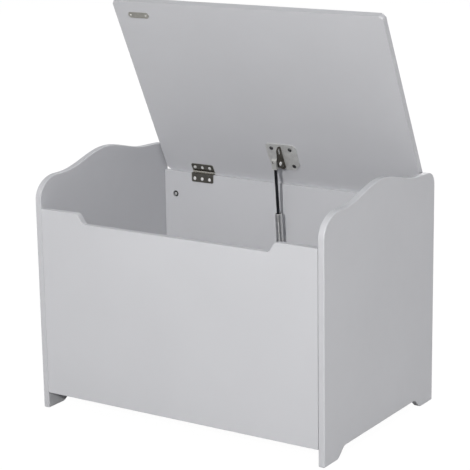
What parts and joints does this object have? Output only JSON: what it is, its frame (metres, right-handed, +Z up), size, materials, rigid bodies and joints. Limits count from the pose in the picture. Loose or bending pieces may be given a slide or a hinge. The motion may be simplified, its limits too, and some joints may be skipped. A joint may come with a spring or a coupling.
{
  "type": "toy box",
  "caption": "Painted board toy box with a notched front, shaped side panels on cut-out feet, and a hinged lid held open by a telescoping stay.",
  "frame": {"origin": "centre of the carcass's plan, on the floor under the feet", "axes": "+X is the right end seen from the front, +Y points to the back, +Z is up; the lid stands open"},
  "size_m": [0.6, 0.4066, 0.7359],
  "materials": {
    "paint": "cool pale grey satin paint on fibreboard",
    "nickel": "satin nickel plate on pressed steel",
    "steel": "bright zinc-plated steel",
    "zinc": "plain die-cast zinc",
    "tube": "smooth silver tube",
    "rod": "polished rod",
    "end_fitting": "satin silver block",
    "guide": "black plastic",
    "label": "warm grey metal, blank"
  },
  "bodies": {
    "carcass": {"left_side_panel": "paint", "right_side_panel": "paint", "front_panel": "paint", "back_panel": "paint", "bottom_panel": "paint", "front_cam_1": "zinc", "front_cam_2": "zinc", "front_cam_3": "zinc", "front_cam_4": "zinc", "back_cam_1": "zinc", "back_cam_2": "zinc", "back_cam_3": "zinc", "back_cam_4": "zinc", "front_cam_bolt_1": "steel", "front_cam_bolt_2": "steel", "front_cam_bolt_3": "steel", "front_cam_bolt_4": "steel", "back_cam_bolt_1": "steel", "back_cam_bolt_2": "steel", "back_cam_bolt_3": "steel", "back_cam_bolt_4": "steel", "left_hinge_fixed_leaf": "nickel", "right_hinge_fixed_leaf": "nickel", "left_hinge_pin": "steel", "right_hinge_pin": "steel", "hinge_body_screw_1": "steel", "hinge_body_screw_2": "steel", "hinge_body_screw_3": "steel", "hinge_body_screw_4": "steel", "hinge_body_screw_5": "steel", "hinge_body_screw_6": "steel", "body_bracket": "nickel", "body_bracket_pin": "steel", "body_bracket_screw_1": "steel", "body_bracket_screw_2": "steel", "body_bracket_screw_3": "steel", "body_bracket_screw_4": "steel"},
    "lid": {"lid_panel": "paint", "left_hinge_lid_leaf": "nickel", "right_hinge_lid_leaf": "nickel", "hinge_lid_screw_1": "steel", "hinge_lid_screw_2": "steel", "hinge_lid_screw_3": "steel", "hinge_lid_screw_4": "steel", "hinge_lid_screw_5": "steel", "hinge_lid_screw_6": "steel", "lid_bracket": "nickel", "lid_bracket_pin": "steel", "lid_bracket_screw_1": "steel", "lid_bracket_screw_2": "steel", "lid_bracket_screw_3": "steel", "lid_bracket_screw_4": "steel", "label_plate": "label", "label_rivet_1": "steel", "label_rivet_2": "steel"},
    "strut_cylinder": {"strut_tube": "tube", "strut_tube_end": "end_fitting", "strut_rod_guide": "guide"},
    "strut_piston_rod": {"strut_rod": "rod", "strut_rod_end": "end_fitting"}
  },
  "joints": [
    {"name": "lid_hinge", "type": "hinge", "parent": "carcass", "child": "lid", "pos_m": [0, 0.194, 0.382], "axis": [1, 0, 0], "range_deg": [0, 64.2]},
    {"name": "strut_tilt", "type": "hinge", "parent": "carcass", "child": "strut_cylinder", "pos_m": [-0.0105, 0.179, 0.188], "axis": [1, 0, 0], "range_deg": [0, 7.34]},
    {"name": "strut_slide", "type": "slide", "parent": "strut_cylinder", "child": "strut_piston_rod", "axis": [0, -0.0977, 0.9952], "range_m": [-0.0558, 0]}
  ],
  "couplings": [
    {"joint": "strut_tilt", "follows": "lid_hinge", "ratio": 0.11418},
    {"joint": "strut_slide", "follows": "lid_hinge", "m_per_rad": -0.049679}
  ]
}
